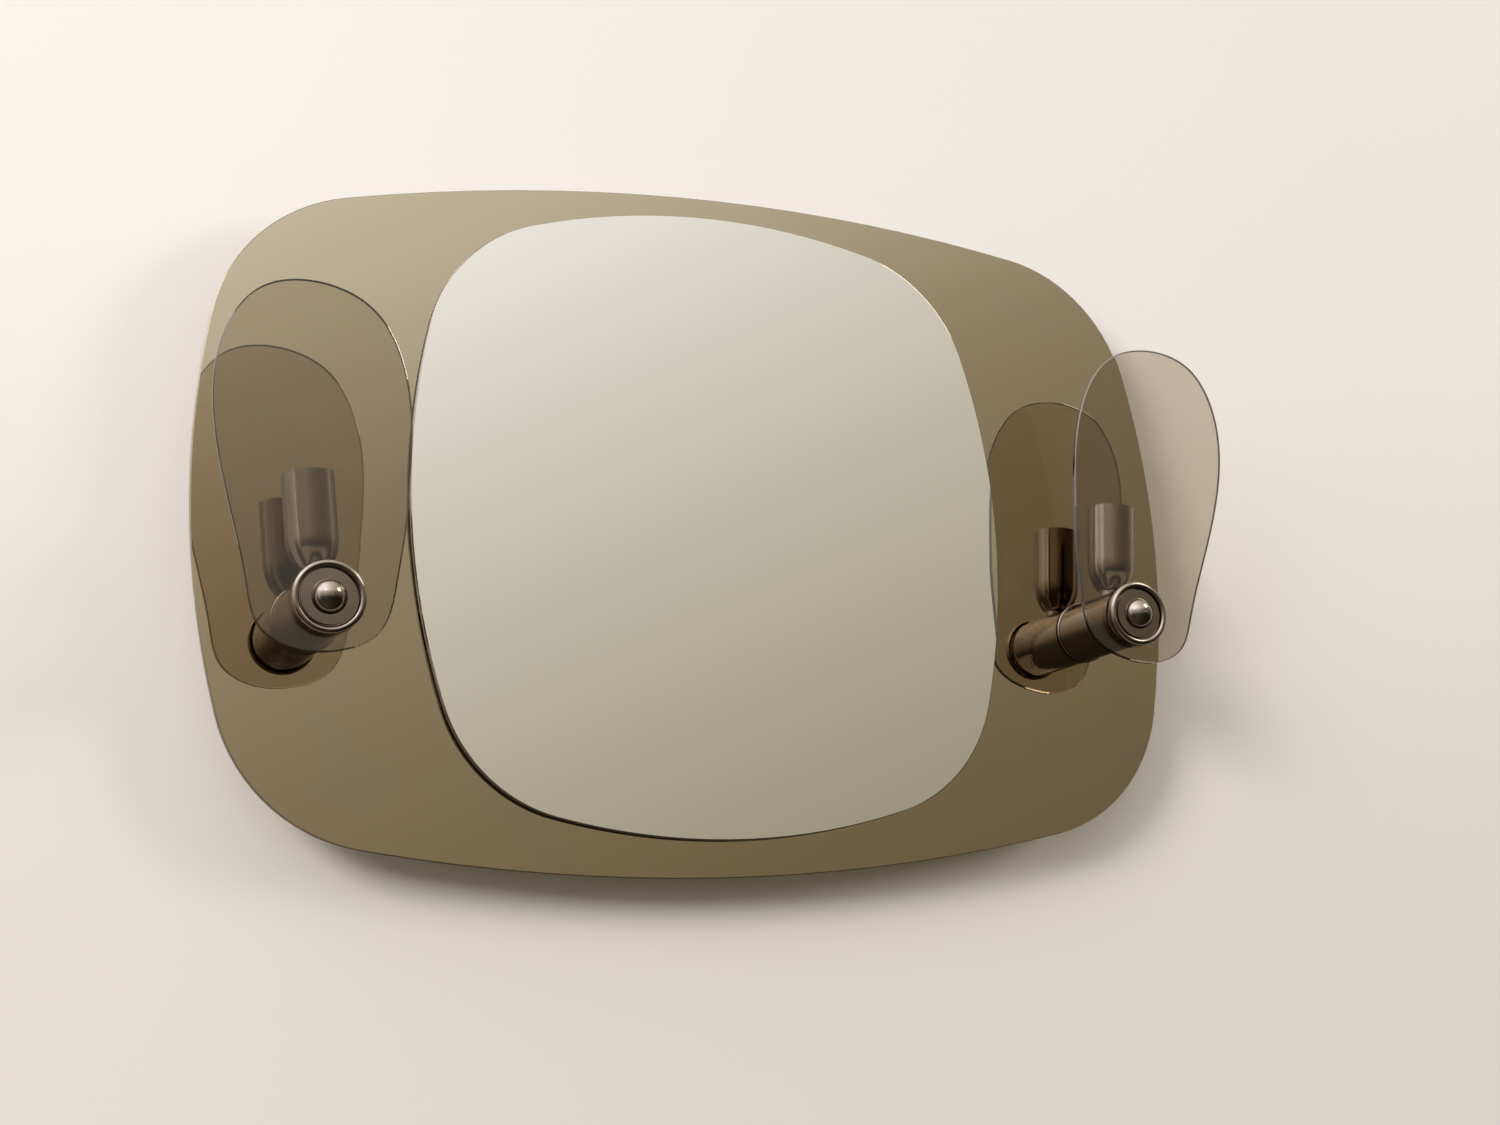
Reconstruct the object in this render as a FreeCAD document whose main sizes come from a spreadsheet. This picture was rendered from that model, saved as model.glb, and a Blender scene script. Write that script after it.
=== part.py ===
import FreeCAD, Part
import math
import os
import re
import Sketcher

from FreeCAD import Placement, Rotation, Vector

# Wall mirror with two sconces. Millimetres. X runs to the right, Z up, and the wall is at Y = 0, so the
# mirror stands out of it towards -Y. The origin is on the wall, midway between the two hanging holes.
# "Depth" below always means the distance out from the wall, which is -Y.

SIZES = (
    # Wall side: felt pads and hanger plates, battens, board
    ("foot_thick", 2), ("batten_thick", 25), ("batten_wide", 40), ("top_batten_long", 400),
    ("side_batten_long", 190), ("hang_drop", 195), ("side_batten_reach", 275), ("side_batten_rise", 55),
    ("board_thick", 6), ("board_width", 710), ("board_height", 450), ("board_top_radius", 1450),
    ("board_side_radius", 620), ("board_corner_radius", 90),
    ("screw_radius", 1.75), ("screw_head_radius", 3.5), ("screw_head_tall", 2), ("screw_long", 24),
    ("screw_gap", 0.1), ("felt_radius", 12), ("end_screw_share", 0.22), ("side_screw_share", 0.35),
    ("felt_share", 0.44),
    # Hanger plates with a keyhole each
    ("hanger_spacing", 300), ("hanger_wide", 56), ("hanger_tall", 32), ("keyhole_radius", 4.5),
    ("keyhole_slot_half", 2.6), ("keyhole_rise", 9), ("head_room_radius", 6.5), ("head_room_deep", 12),
    ("hanger_screw_reach", 20), ("hanger_screw_long", 14), ("hanger_head_tall", 1.5),
    # Two glasses and their adhesive pads
    ("panel_pad_thick", 2), ("panel_thick", 5), ("panel_width", 800), ("panel_height", 540),
    ("panel_top_radius", 1500), ("panel_side_radius", 665), ("panel_corner_radius", 127),
    ("centre_pad_thick", 2), ("centre_thick", 5), ("centre_width", 487), ("centre_height", 494),
    ("centre_top_radius", 525), ("centre_side_radius", 540), ("centre_corner_radius", 119),
    ("centre_rise", 4.5), ("glass_arris", 0.8), ("pad_wide", 40), ("strip_long", 70), ("strip_wide", 20),
    # Sconce: places, and the hollow stud that clamps it together
    ("sconce_reach", 321), ("sconce_drop", 79), ("stud_radius", 5), ("stud_bore", 3),
    ("thread_gap", 0.05), ("stud_tail", 10), ("bush_radius", 8), ("bush_gap", 0.1),
    ("back_washer_radius", 18), ("back_washer_thick", 2), ("back_nut_corner", 9.8), ("back_nut_thick", 6),
    ("gasket_thick", 1), ("gasket_radius", 23), ("rosette_thick", 1.5), ("rosette_radius", 24.6),
    ("rosette_round", 0.8), ("spigot_radius", 21.9), ("spigot_inner", 19), ("spigot_tall", 3),
    ("tube_radius", 23.5), ("tube_wall", 1.5), ("tube_long", 69.5), ("disc_thick", 4), ("disc_gap", 0.1),
    ("lead_slot_start", 55), ("lead_slot_long", 14), ("lead_slot_wide", 5),
    # Lamp-holder cup on its saddle and nipple
    ("cup_reach", 42), ("left_lean", -3), ("right_lean", 6), ("saddle_radius", 9),
    ("saddle_thick", 2), ("saddle_gap", 0.05), ("cup_radius", 18.5), ("cup_wall", 1.5),
    ("cup_tall", 70), ("cup_shoulder", 24), ("cup_heel_radius", 12), ("cup_heel_rise", 2.65),
    ("cup_foot_radius", 7), ("cup_heel_round", 6.1), ("cup_inner_foot", 8.4), ("nipple_low", 15),
    ("nipple_long", 21), ("lock_nut_corner", 8.1), ("lock_nut_thick", 4), ("tube_nut_top", 20.3),
    # E14 lamp socket inside the cup, heights from the cup's foot
    ("socket_foot", 5.6), ("socket_neck_radius", 9), ("socket_shelf", 31), ("socket_taper", 6),
    ("socket_radius", 15),
    ("socket_top", 58), ("socket_well", 7.6), ("nipple_well", 12), ("socket_floor", 30),
    ("lead_hole", 2.2), ("shell_outer", 7.5), ("shell_inner", 7.1), ("shell_low", 34.5), ("shell_long", 23),
    ("contact_radius", 3), ("contact_thick", 2), ("contact_tip", 1.6),
    # Shade, its bush and washer
    ("flange_radius", 21), ("flange_thick", 1.5), ("shade_thick", 4), ("shade_hole", 8),
    ("running_gap", 0.05), ("shade_turn", 5),
    # Cap with its bead and groove, and the dome nut
    ("cap_radius", 25.5), ("cap_edge_round", 1.5), ("bead_radius", 2.5), ("bead_base", 4.5),
    ("groove_floor", 3), ("disc_radius", 19.2), ("disc_edge", 5.2), ("disc_middle", 5.4),
    ("disc_crown_radius", 900), ("cap_hole", 5.2), ("dome_radius", 12.3), ("dome_skirt", 0.4),
    ("dome_tall", 9.6), ("dome_bore_deep", 7), ("stud_into_dome", 6),
    # Wiring on the board's back
    ("box_wide", 90), ("box_tall", 44), ("box_deep", 18), ("box_wall", 2), ("cover_thick", 2),
    ("box_screw_reach", 38), ("post_radius", 4), ("post_off_wall", 3), ("box_screw_radius", 1.5),
    ("box_screw_head", 3),
    ("box_screw_long", 10), ("block_wide", 34), ("block_tall", 16), ("block_thick", 12),
    ("block_screw_spacing", 10), ("block_screw_radius", 2), ("grommet_radius", 5.5), ("grommet_bore", 3.6),
    ("grommet_lip", 6.8), ("grommet_long", 8), ("inlet_drop", 12.5), ("lead_radius", 1.6),
    ("lead_depth", 22), ("lead_turn_depth", 8), ("lead_past_washer", 4.5), ("lead_step", 3),
    ("lead_climb", 20),
    ("lead_hole_side", 2.1), ("clip_wide", 6), ("clip_tall", 9), ("clip_deep", 9),
)

# The egg outline of a shade, about its swivel axis: first number towards the middle of the mirror, second up
SHADE_OUTLINE = (
    (52, 70), (52, 115), (44, 170), (19, 211), (-20, 225), (-60, 215), (-83, 178), (-87, 135),
    (-79, 88), (-66, 44), (-55, 5), (-44, -24), (-22, -36), (10, -35), (35, -23), (48, 20),
)

# Bend radii of a lead from the socket to the terminal box
LEAD_RADII = (10, 8, 25, 25)
# Places of the clips along a lead's run, as shares of the sconce's reach
CLIP_SHARES = (0.2, 0.5, 0.7)
# Places of the foam strips and of the square pads, as multiples of a strip's length and a pad's width
STRIP_PLACES = [(x, z) for x in (-3, 0, 3) for z in (-2, 0, 2)]
SQUARE_PLACES = ((-4, -4), (4, -4), (0, 0), (-4, 4), (4, 4))

SIDES = (("left", -1), ("right", 1))
OUT = Rotation(Vector(1, 0, 0), 90)
UP = Rotation()
ACROSS = Rotation(Vector(0, 1, 0), 90)

# Depths, as expressions on the sheet, from the wall outwards
BATTEN_BACK = "foot_thick"
BOARD_BACK = "(foot_thick + batten_thick)"
BOARD_FRONT = f"({BOARD_BACK} + board_thick)"
PANEL_BACK = f"({BOARD_FRONT} + panel_pad_thick)"
PANEL_FRONT = f"({PANEL_BACK} + panel_thick)"
CENTRE_BACK = f"({PANEL_FRONT} + centre_pad_thick)"
STUD_BACK = f"({BOARD_BACK} - stud_tail)"
ROSETTE_BACK = f"({PANEL_FRONT} + gasket_thick)"
TUBE_BACK = f"({ROSETTE_BACK} + rosette_thick)"
TUBE_FRONT = f"({TUBE_BACK} + tube_long)"
SHADE_BACK = f"({TUBE_FRONT} + flange_thick + running_gap)"
WASHER_BACK = f"({SHADE_BACK} + shade_thick + running_gap)"
CAP_BACK = f"({WASHER_BACK} + flange_thick + running_gap)"
DOME_BACK = f"({CAP_BACK} + disc_middle + running_gap)"
CUP_DEPTH = f"({PANEL_FRONT} + cup_reach)"
# Heights: the hanging holes are at Z = 0
PANEL_UP = "(-hang_drop)"
SCONCE_UP = "(-hang_drop - sconce_drop)"
# Heights along the leaning axis of a cup, from the tube's axis
FOOT_RISE = "(tube_radius + saddle_thick)"

doc = FreeCAD.newDocument("wall_mirror")
sheet = doc.addObject("Spreadsheet::Sheet", "Sizes")
for row, (alias, size) in enumerate(SIZES, start=1):
    sheet.set(f"A{row}", alias)
    sheet.set(f"B{row}", str(size))
    sheet.setAlias(f"B{row}", alias)
doc.recompute()

nodes = []


def cell(text):
    """An expression in which every alias carries the sheet's name."""
    return re.sub(r"\b([a-z]+(?:_[a-z]+)+)\b", r"Sizes.\1", str(text))


def value(text):
    return float(sheet.evalExpression(cell(text)))


def bind(thing, **expressions):
    for name, text in expressions.items():
        thing.setExpression(name, cell(text))


def put(thing, x, depth, z, turn=UP):
    """Places a thing by expressions: across, out from the wall, and up."""
    thing.Placement = Placement(Vector(value(x), -value(depth), value(z)), turn)
    for axis, text in (("x", x), ("y", f"-({depth})"), ("z", z)):
        thing.setExpression(f"Placement.Base.{axis}", cell(text))
    return thing


def node(thing, label):
    thing.Label = label
    nodes.append(thing)
    return thing


# Part primitives and booleans


def cylinder(radius, tall, x, depth, z, turn=OUT):
    made = doc.addObject("Part::Cylinder", "Cylinder")
    bind(made, Radius=radius, Height=tall)
    return put(made, x, depth, z, turn)


def cone(low, high, tall, x, depth, z, turn=OUT):
    made = doc.addObject("Part::Cone", "Cone")
    bind(made, Radius1=low, Radius2=high, Height=tall)
    return put(made, x, depth, z, turn)


def block(wide, deep, tall, x, depth, z):
    """A box centred across and in height, whose back is at the depth given."""
    made = doc.addObject("Part::Box", "Block")
    bind(made, Length=wide, Width=deep, Height=tall)
    return put(made, f"{x} - ({wide}) / 2", f"({depth}) + ({deep})", f"({z}) - ({tall}) / 2")


def hexagon(corner, tall, x, depth, z, turn=OUT):
    made = doc.addObject("Part::Prism", "Hexagon")
    made.Polygon = 6
    bind(made, Circumradius=corner, Height=tall)
    return put(made, x, depth, z, turn)


def together(parts):
    made = doc.addObject("Part::MultiFuse", "Joined")
    made.Shapes = parts
    return made


def group(parts):
    """Several separate solids that share one node."""
    made = doc.addObject("Part::Compound", "Group")
    made.Links = parts
    return made


def cut(base, tools):
    made = doc.addObject("Part::Cut", "Shaped")
    made.Base = base
    made.Tool = together(tools) if len(tools) > 1 else tools[0]
    return made


# PartDesign bodies


def body_with_sketch(name, plane):
    body = doc.addObject("PartDesign::Body", name)
    sketch = body.newObject("Sketcher::SketchObject", f"{name}_sketch")
    support = [part for part in body.Origin.OriginFeatures if part.Role == plane]
    sketch.AttachmentSupport = [(support[0], "")]
    sketch.MapMode = "FlatFace"
    return body, sketch


def fix(sketch, kind, *where, size):
    """A dimension bound to the sheet."""
    index = sketch.addConstraint(Sketcher.Constraint(kind, *where, value(size)))
    sketch.setExpression(f"Constraints[{index}]", cell(size))


def edge_between(start, end, radius, side):
    """A line, or an arc whose centre is on that side of the way from start to end. Also which of the
    edge's own ends the start and the end are."""
    if radius is None:
        return Part.LineSegment(start, end), 1, 2
    way = end.sub(start)
    left = Vector(-way.y, way.x, 0).normalize()
    offset = math.sqrt(radius**2 - (way.Length / 2) ** 2)
    centre = (start + end) * 0.5 + left * (offset if side == "left" else -offset)
    first, last = (start, end) if side == "left" else (end, start)
    angles = [math.atan2(p.y - centre.y, p.x - centre.x) for p in (first, last)]
    arc = Part.ArcOfCircle(Part.Circle(centre, Vector(0, 0, 1), radius), *angles)
    return (arc, 1, 2) if side == "left" else (arc, 2, 1)


def turned(name, corners, x, depth, z, turn=OUT):
    """A lathe-turned piece. Each corner is (radius, height), and may add a radius and a side that make
    the edge after it an arc."""
    body, sketch = body_with_sketch(name, "XZ_Plane")
    spots = [Vector(value(corner[0]), value(corner[1]), 0) for corner in corners]
    ends = []
    for index, corner in enumerate(corners):
        radius, side = (value(corner[2]), corner[3]) if len(corner) > 2 else (None, None)
        following = spots[(index + 1) % len(spots)]
        edge, start, end = edge_between(spots[index], following, radius, side)
        made = sketch.addGeometry(edge, False)
        ends.append((made, start, end))
    for index, (made, start, end) in enumerate(ends):
        after = ends[(index + 1) % len(ends)]
        sketch.addConstraint(Sketcher.Constraint("Coincident", made, end, after[0], after[1]))
    for (made, start, end), corner, spot in zip(ends, corners, spots):
        for kind, text, size, axis in (
            ("DistanceX", corner[0], spot.x, -2),
            ("DistanceY", corner[1], spot.y, -1),
        ):
            if abs(size) < 1e-9:
                sketch.addConstraint(Sketcher.Constraint("PointOnObject", made, start, axis))
            else:
                fix(sketch, kind, -1, 1, made, start, size=text)
        if len(corner) > 2:
            fix(sketch, "Radius", made, size=corner[2])
    solid = body.newObject("PartDesign::Revolution", f"{name}_turned")
    solid.Profile = sketch
    solid.ReferenceAxis = (sketch, ["V_Axis"])
    solid.Angle = 360
    put(body, x, depth, z, turn)
    return node(body, name)


def ring(name, inner, outer, tall, x, depth, z, turn=OUT):
    return turned(name, [(inner, 0), (outer, 0), (outer, tall), (inner, tall)], x, depth, z, turn)


def screen_outline(sketch, kind):
    """The rounded shape of an old television screen: four long side arcs and four corner arcs, all
    tangent. The sizes are the cells whose names begin with kind."""
    half_x, half_z = value(f"{kind}_width") / 2, value(f"{kind}_height") / 2
    top, side = value(f"{kind}_top_radius"), value(f"{kind}_side_radius")
    corner = value(f"{kind}_corner_radius")
    side_centre, top_centre = Vector(half_x - side, 0, 0), Vector(0, half_z - top, 0)
    # The corner's centre is side - corner from one centre and top - corner from the other
    apart = top_centre.sub(side_centre)
    along = ((side - corner) ** 2 - (top - corner) ** 2 + apart.Length**2) / (2 * apart.Length)
    off = math.sqrt((side - corner) ** 2 - along**2)
    unit = Vector(apart).normalize()
    corner_centre = side_centre + unit * along + Vector(-unit.y, unit.x, 0) * off
    low = math.atan2(corner_centre.y - side_centre.y, corner_centre.x - side_centre.x)
    high = math.atan2(corner_centre.y - top_centre.y, corner_centre.x - top_centre.x)
    cx, cz = corner_centre.x, corner_centre.y
    arcs = (
        (side_centre, side, -low, low),
        (Vector(cx, cz, 0), corner, low, high),
        (top_centre, top, high, math.pi - high),
        (Vector(-cx, cz, 0), corner, math.pi - high, math.pi - low),
        (side_centre * -1, side, math.pi - low, math.pi + low),
        (Vector(-cx, -cz, 0), corner, math.pi + low, math.pi + high),
        (top_centre * -1, top, math.pi + high, 2 * math.pi - high),
        (Vector(cx, -cz, 0), corner, -high, -low),
    )
    made = [
        sketch.addGeometry(Part.ArcOfCircle(Part.Circle(centre, Vector(0, 0, 1), r), a, b), False)
        for centre, r, a, b in arcs
    ]
    for here, after in zip(made, made[1:] + made[:1]):
        sketch.addConstraint(Sketcher.Constraint("Tangent", here, 2, after, 1))
    right, upper, left, lower = made[0], made[2], made[4], made[6]
    for arc, axis in ((right, -1), (left, -1), (upper, -2), (lower, -2)):
        sketch.addConstraint(Sketcher.Constraint("PointOnObject", arc, 3, axis))
    in_x = f"{kind}_side_radius - {kind}_width / 2"
    in_z = f"{kind}_top_radius - {kind}_height / 2"
    fix(sketch, "DistanceX", right, 3, -1, 1, size=in_x)
    fix(sketch, "DistanceX", -1, 1, left, 3, size=in_x)
    fix(sketch, "DistanceY", upper, 3, -1, 1, size=in_z)
    fix(sketch, "DistanceY", -1, 1, lower, 3, size=in_z)
    for arc, name in ((right, "side"), (left, "side"), (upper, "top"), (lower, "top")):
        fix(sketch, "Radius", arc, size=f"{kind}_{name}_radius")
    for arc in made[1::2]:
        fix(sketch, "Radius", arc, size=f"{kind}_corner_radius")


def round_hole(sketch, radius, across, up):
    """A round hole in a sketch, placed by expressions whose signs don't change."""
    spot = Vector(value(across), value(up), 0)
    made = sketch.addGeometry(Part.Circle(spot, Vector(0, 0, 1), value(radius)), False)
    fix(sketch, "Radius", made, size=radius)
    for kind, text, size, axis in (("DistanceX", across, spot.x, -2), ("DistanceY", up, spot.y, -1)):
        if abs(size) < 1e-9:
            sketch.addConstraint(Sketcher.Constraint("PointOnObject", made, 3, axis))
        elif size > 0:
            fix(sketch, kind, -1, 1, made, 3, size=text)
        else:
            fix(sketch, kind, made, 3, -1, 1, size=f"-({text})")


def plate(body, sketch, thick, arris=None):
    """Pads the sketch out from the wall, and takes the sharp arris off both faces."""
    pad = body.newObject("PartDesign::Pad", f"{body.Name}_pad")
    pad.Profile = sketch
    pad.setExpression("Length", cell(thick))
    doc.recompute()
    if arris:
        faces = [
            f"Face{index}"
            for index, face in enumerate(pad.Shape.Faces, start=1)
            if isinstance(face.Surface, Part.Plane)
        ]
        ground = body.newObject("PartDesign::Chamfer", f"{body.Name}_arris")
        ground.Base = (pad, faces)
        ground.setExpression("Size", cell(arris))
        body.Tip = ground


# Glasses and board


def screen_plate(name, kind, depth, up, thick, hole, arris=None):
    """A glass or board with the screen outline, and a stud hole each side where hole is given."""
    body, sketch = body_with_sketch(name, "XZ_Plane")
    screen_outline(sketch, kind)
    if hole:
        for _, sign in SIDES:
            round_hole(sketch, hole, f"{sign} * sconce_reach", "-sconce_drop")
    plate(body, sketch, thick, arris)
    put(body, "0", depth, up)
    return body


def batten_screw(x, z):
    """A countersunk wood screw through the board into a batten, and the drill that clears it."""
    head_front = BOARD_FRONT
    shank = cylinder("screw_radius", "screw_long", x, f"{head_front} - screw_long", z)
    head = cone("screw_radius", "screw_head_radius", "screw_head_tall", x,
                f"{head_front} - screw_head_tall", z)
    drill = cylinder("screw_radius + screw_gap", "screw_long + screw_gap", x,
                     f"{head_front} - screw_long - screw_gap", z)
    sink = cone("screw_radius + screw_gap", "screw_head_radius + screw_gap", "screw_head_tall", x,
                f"{head_front} - screw_head_tall", z)
    return together([shank, head]), drill, sink


def back_frame():
    """Backing board, four battens, and the screws that hold them together."""
    top_bottom = [("top_batten", "0", "0"), ("bottom_batten", "0", "(-2 * hang_drop)")]
    side_up = f"({PANEL_UP} + side_batten_rise)"
    beside = [(f"{side}_batten", f"({sign} * side_batten_reach)", side_up) for side, sign in SIDES]
    screws, drills, sinks, battens = [], {}, [], {}
    for name, x, z in top_bottom:
        battens[name] = block("top_batten_long", "batten_thick", "batten_wide", x, BATTEN_BACK, z)
        spots = [(f"({x} + {sign} * top_batten_long * end_screw_share)", z) for _, sign in SIDES]
        drills[name] = [batten_screw(*spot) for spot in spots]
    for name, x, z in beside:
        battens[name] = block("batten_wide", "batten_thick", "side_batten_long", x, BATTEN_BACK, z)
        spots = [(x, f"({z} + {sign} * side_batten_long * side_screw_share)") for _, sign in SIDES]
        drills[name] = [batten_screw(*spot) for spot in spots]
    for name, base in battens.items():
        tools = [drill for _, drill, _ in drills[name]]
        if name == "top_batten":
            tools += [part for _, sign in SIDES for part in head_room(sign)]
            tools += [hanger_drill(sign, end) for _, sign in SIDES for end in (-1, 1)]
        node(cut(base, tools), name)
        screws += [screw for screw, _, _ in drills[name]]
    board = screen_plate("backing_board_blank", "board", BOARD_BACK, PANEL_UP, "board_thick",
                         "stud_radius + screw_gap")
    holes = [part for found in drills.values() for _, drill, sink in found for part in (drill, sink)]
    node(cut(board, holes), "backing_board")
    node(group(screws), "batten_screws")


def head_room(sign):
    """The pocket behind a keyhole, which clears the wall screw's head as the mirror drops onto it."""
    x = f"({sign} * hanger_spacing / 2)"
    low = cylinder("head_room_radius", "head_room_deep", x, "foot_thick", "0")
    high = cylinder("head_room_radius", "head_room_deep", x, "foot_thick", "keyhole_rise")
    between = block("2 * head_room_radius", "head_room_deep", "keyhole_rise", x, "foot_thick",
                    "keyhole_rise / 2")
    return [low, high, between]


def hanger_spot(sign, end):
    return f"({sign} * hanger_spacing / 2 + {end} * hanger_screw_reach)", "0"


def hanger_drill(sign, end):
    x, z = hanger_spot(sign, end)
    return cylinder("screw_radius + screw_gap", "hanger_screw_long + screw_gap", x, "0", z)


def hangers():
    """A steel keyhole plate on the back of the top batten at each side, with two screws each."""
    screws = []
    for side, sign in SIDES:
        x = f"({sign} * hanger_spacing / 2)"
        blank = block("hanger_wide", "foot_thick", "hanger_tall", x, "0", "keyhole_rise / 2")
        entry = cylinder("keyhole_radius", "foot_thick", x, "0", "0")
        slot = block("2 * keyhole_slot_half", "foot_thick", "keyhole_rise", x, "0", "keyhole_rise / 2")
        slot_end = cylinder("keyhole_slot_half", "foot_thick", x, "0", "keyhole_rise")
        tools = [entry, slot, slot_end]
        for end in (-1, 1):
            spot_x, spot_z = hanger_spot(sign, end)
            tools.append(cone("screw_head_radius + screw_gap", "screw_radius + screw_gap", "foot_thick",
                              spot_x, "0", spot_z))
            head = cone("screw_head_radius", "screw_radius", "hanger_head_tall", spot_x, "0", spot_z)
            shank = cylinder("screw_radius", "hanger_screw_long", spot_x, "0", spot_z)
            screws.append(together([head, shank]))
        node(cut(blank, tools), f"{side}_hanger_plate")
    node(group(screws), "hanger_screws")


def felt_pads():
    """Felt discs that keep the lower battens off the wall, level with the hanger plates."""
    low = [(f"{sign} * top_batten_long * felt_share", "-2 * hang_drop") for _, sign in SIDES]
    middle = [(f"{sign} * side_batten_reach", f"{PANEL_UP} + side_batten_rise") for _, sign in SIDES]
    node(group([cylinder("felt_radius", "foot_thick", x, "0", z) for x, z in low + middle]), "felt_pads")


def glasses():
    panel = screen_plate("bronze_mirror_panel", "panel", PANEL_BACK, PANEL_UP, "panel_thick",
                         "bush_radius", "glass_arris")
    node(panel, "bronze_mirror_panel")
    centre = screen_plate("centre_mirror", "centre", CENTRE_BACK, f"{PANEL_UP} + centre_rise",
                          "centre_thick", None, "glass_arris")
    node(centre, "centre_mirror")
    # Foam strips between board and panel, and square pads between the two glasses
    strips = [
        block("strip_long", "panel_pad_thick", "strip_wide", f"({x} * strip_long)", BOARD_FRONT,
              f"{PANEL_UP} + {z} * strip_long")
        for x, z in STRIP_PLACES
    ]
    node(group(strips), "panel_pads")
    squares = [
        block("pad_wide", "centre_pad_thick", "pad_wide", f"({x} * pad_wide)", PANEL_FRONT,
              f"{PANEL_UP} + centre_rise + {z} * pad_wide")
        for x, z in SQUARE_PLACES
    ]
    node(group(squares), "centre_mirror_pads")


# One sconce


def lean_turn(side):
    return Rotation(Vector(0, 1, 0), value(f"{side}_lean"))


def on_lean(side, x, rise):
    """Across and up of the point that far above the tube's axis, on the leaning axis of the cup."""
    return f"({x} + ({rise}) * sin({side}_lean))", f"({SCONCE_UP} + ({rise}) * cos({side}_lean))"


def clamp_stack(side, x):
    """What the hollow stud holds against the panel: bush, gasket, rosette, tube and end disc."""
    up = SCONCE_UP
    stud_long = f"({DOME_BACK} + stud_into_dome - {STUD_BACK})"
    rod = cylinder("stud_radius", stud_long, x, STUD_BACK, up)
    bore = cylinder("stud_bore", stud_long, x, STUD_BACK, up)
    slot = block("lead_slot_wide", "lead_slot_long", "stud_radius", x, f"{STUD_BACK} + lead_slot_start",
                 f"{up} + stud_radius * 0.5")
    node(cut(rod, [bore, slot]), f"{side}_threaded_stud")
    ring(f"{side}_panel_bush", "stud_radius + thread_gap", "bush_radius - bush_gap", "panel_thick",
         x, PANEL_BACK, up)
    ring(f"{side}_rosette_gasket", "stud_radius + bush_gap", "gasket_radius", "gasket_thick",
         x, PANEL_FRONT, up)
    rosette = [
        ("cap_hole", 0),
        ("rosette_radius", 0),
        ("rosette_radius", "rosette_thick - rosette_round", "rosette_round", "left"),
        ("rosette_radius - rosette_round", "rosette_thick"),
        ("spigot_radius", "rosette_thick"),
        ("spigot_radius", "rosette_thick + spigot_tall"),
        ("spigot_inner", "rosette_thick + spigot_tall"),
        ("spigot_inner", "rosette_thick"),
        ("cap_hole", "rosette_thick"),
    ]
    turned(f"{side}_base_rosette", rosette, x, ROSETTE_BACK, up)
    outer = cylinder("tube_radius", "tube_long", x, TUBE_BACK, up)
    inner = cylinder("tube_radius - tube_wall", "tube_long", x, TUBE_BACK, up)
    nipple_hole = cylinder("stud_radius + thread_gap", "2 * tube_radius", x, CUP_DEPTH, up,
                           lean_turn(side))
    node(cut(outer, [inner, nipple_hole]), f"{side}_standoff_tube")
    ring(f"{side}_tube_end_disc", "stud_radius + thread_gap", "tube_radius - tube_wall - disc_gap",
         "disc_thick", x, f"{TUBE_FRONT} - disc_thick", up)


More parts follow.
